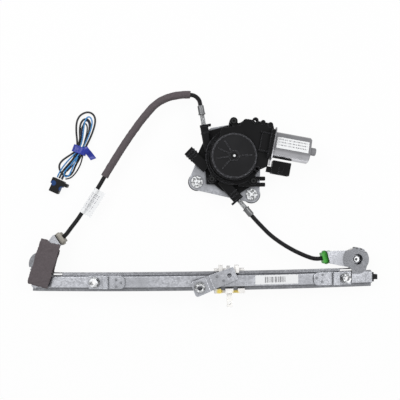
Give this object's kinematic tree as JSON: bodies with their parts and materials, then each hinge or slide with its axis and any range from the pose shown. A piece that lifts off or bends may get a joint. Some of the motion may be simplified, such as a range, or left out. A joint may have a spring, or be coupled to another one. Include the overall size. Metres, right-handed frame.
{
  "type": "window regulator",
  "caption": "Cable window regulator: bowed hat-section rail with end pulleys, nylon glass carrier, Bowden conduits and a worm-geared motor that winds the cable drum.",
  "frame": {"origin": "centre of the footprint, on the plane of the rubber rings that the unit lies on", "axes": "+X along the rail towards its buffer end, +Y from the rail to the drive unit, +Z out of the front, away from the table"},
  "size_m": [0.4896, 0.3022, 0.055],
  "materials": {
    "galvanised_steel": "satin zinc coat",
    "zinc_fastener": "bright zinc",
    "tag_steel": "satin",
    "cable_steel": "greased",
    "can_steel": "bright drawn",
    "black_glass_filled": "satin",
    "white_nylon": "satin",
    "green_nylon": "satin",
    "beige_nylon": "satin",
    "black_rubber": "matt",
    "conduit_sheath": "satin",
    "foam_tape": "matt",
    "wire_insulation": "satin",
    "blue_nylon": "satin",
    "copper": "enamelled",
    "tin_brass": "plain",
    "core_iron": "plain",
    "ferrite": "plain"
  },
  "bodies": {
    "root": {"brush_holder": "black_glass_filled", "brushes": "core_iron", "clinch_rivets": "zinc_fastener", "conduit_bush_left": "beige_nylon", "conduit_bush_right": "green_nylon", "conduit_ferrules": "white_nylon", "conduit_lower": "conduit_sheath", "conduit_tag": "tag_steel", "conduit_upper": "conduit_sheath", "connector_pins": "tin_brass", "drive_cable": "cable_steel", "drum_housing": "black_glass_filled", "drum_pin": "zinc_fastener", "end_buffer": "black_rubber", "foam_sleeve": "foam_tape", "foam_wrap": "foam_tape", "gear_cover": "black_glass_filled", "gear_housing": "black_glass_filled", "harness_connector": "black_glass_filled", "harness_hank": "wire_insulation", "harness_tie": "blue_nylon", "housing_screws": "zinc_fastener", "motor_can": "can_steel", "motor_connector": "black_glass_filled", "motor_magnets": "ferrite", "mount_sleeves": "zinc_fastener", "mounting_plate": "galvanised_steel", "pulley_axles": "zinc_fastener", "pulley_bracket_left": "galvanised_steel", "pulley_bracket_right": "galvanised_steel", "rail": "galvanised_steel", "rail_bracket_left": "galvanised_steel", "rail_bracket_middle": "galvanised_steel", "rail_bracket_right": "galvanised_steel", "rail_cable": "cable_steel", "rail_nuts": "zinc_fastener", "rubber_rings": "black_rubber", "shaft_bearings": "tin_brass", "tension_spring_lower": "cable_steel", "tension_spring_upper": "cable_steel"},
    "rotor": {"armature_shaft": "zinc_fastener", "armature_core": "core_iron", "armature_winding": "copper", "commutator": "copper"},
    "drum_body": {"drum": "white_nylon", "cable_turns": "cable_steel", "worm_wheel": "white_nylon"},
    "pulley_left_body": {"pulley_left": "white_nylon"},
    "pulley_right_body": {"pulley_right": "white_nylon"},
    "slider": {"glass_carrier": "white_nylon", "cable_nipples": "cable_steel", "slider_plate": "tag_steel", "slider_screws": "zinc_fastener"}
  },
  "joints": [
    {"name": "motor_spin", "type": "hinge", "parent": "root", "child": "rotor", "pos_m": [0.04977, 0.08222, 0.036], "axis": [0.9808, -0.1951, 0], "range_deg": [-14100, 25900]},
    {"name": "drum_spin", "type": "hinge", "parent": "root", "child": "drum_body", "pos_m": [0.0448, 0.05721, 0], "axis": [0, 0, 1], "range_deg": [-193.5, 355]},
    {"name": "slider_travel", "type": "hinge", "parent": "root", "child": "slider", "pos_m": [-0.0027, 0, -1.2655], "axis": [0, 1, 0], "range_deg": [-9.04, 4.94]},
    {"name": "pulley_left_spin", "type": "hinge", "parent": "root", "child": "pulley_left_body", "pos_m": [-0.22547, -0.08829, 0.01162], "axis": [-0.1718, 0, 0.9851], "range_deg": [-868, 473]},
    {"name": "pulley_right_spin", "type": "hinge", "parent": "root", "child": "pulley_right_body", "pos_m": [0.21427, -0.08829, 0.01261], "axis": [0.1674, 0, 0.9859], "range_deg": [-868, 473]}
  ],
  "couplings": [
    {"joint": "drum_spin", "follows": "motor_spin", "ratio": 0.013699},
    {"joint": "slider_travel", "follows": "motor_spin", "ratio": -0.0003487},
    {"joint": "pulley_left_spin", "follows": "motor_spin", "ratio": -0.033486},
    {"joint": "pulley_right_spin", "follows": "motor_spin", "ratio": -0.033486}
  ]
}
